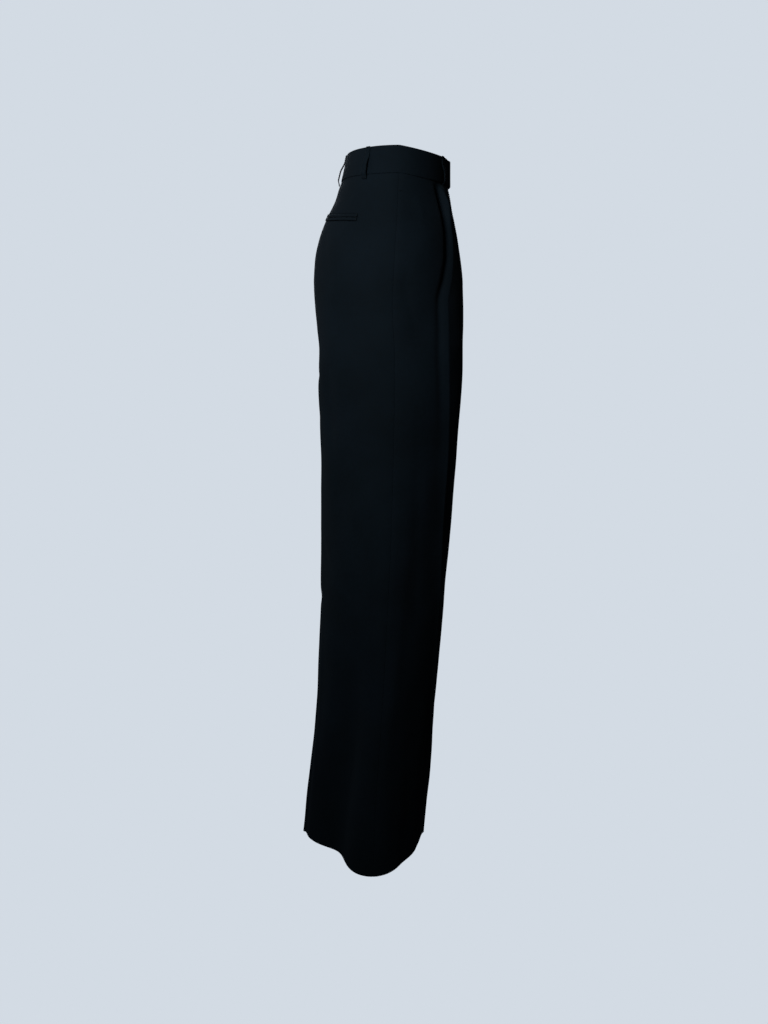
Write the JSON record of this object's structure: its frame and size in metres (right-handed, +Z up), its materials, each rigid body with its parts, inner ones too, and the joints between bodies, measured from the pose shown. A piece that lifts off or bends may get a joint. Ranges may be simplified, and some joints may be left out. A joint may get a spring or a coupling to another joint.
{
  "type": "palazzo pants",
  "caption": "High-waisted wide-leg trousers with pressed pleats, belt loops, side pockets and welt back pockets, standing in their worn hollow form.",
  "frame": {"origin": "centre of the waist opening, level with the waistband's top edge at the side seams", "axes": "+Z up, -Y the wearer's front, +Y the back, -X the wearer's right"},
  "size_m": [0.4967, 0.2591, 1.1009],
  "materials": {
    "suiting": "matte near-black cool wool-blend suiting with a soft drape",
    "zip_tape": "black woven zip tape with black coil teeth",
    "dark_metal": "dark plated metal, satin"
  },
  "bodies": {
    "root": {"front_right": "suiting", "front_left": "suiting", "back_right": "suiting", "back_left": "suiting", "waistband_right": "suiting", "waistband_left": "suiting", "belt_loop_back": "suiting", "belt_loop_side_right": "suiting", "belt_loop_side_left": "suiting", "belt_loop_front_right": "suiting", "belt_loop_front_left": "suiting", "back_pocket_lip_upper_right": "suiting", "back_pocket_lip_upper_left": "suiting", "back_pocket_lip_lower_right": "suiting", "back_pocket_lip_lower_left": "suiting", "side_pocket_facing_right": "suiting", "side_pocket_facing_left": "suiting", "fly_zip": "zip_tape", "fly_shield": "suiting", "fly_zip_slider": "dark_metal", "waist_hook": "dark_metal"}
  },
  "joints": []
}
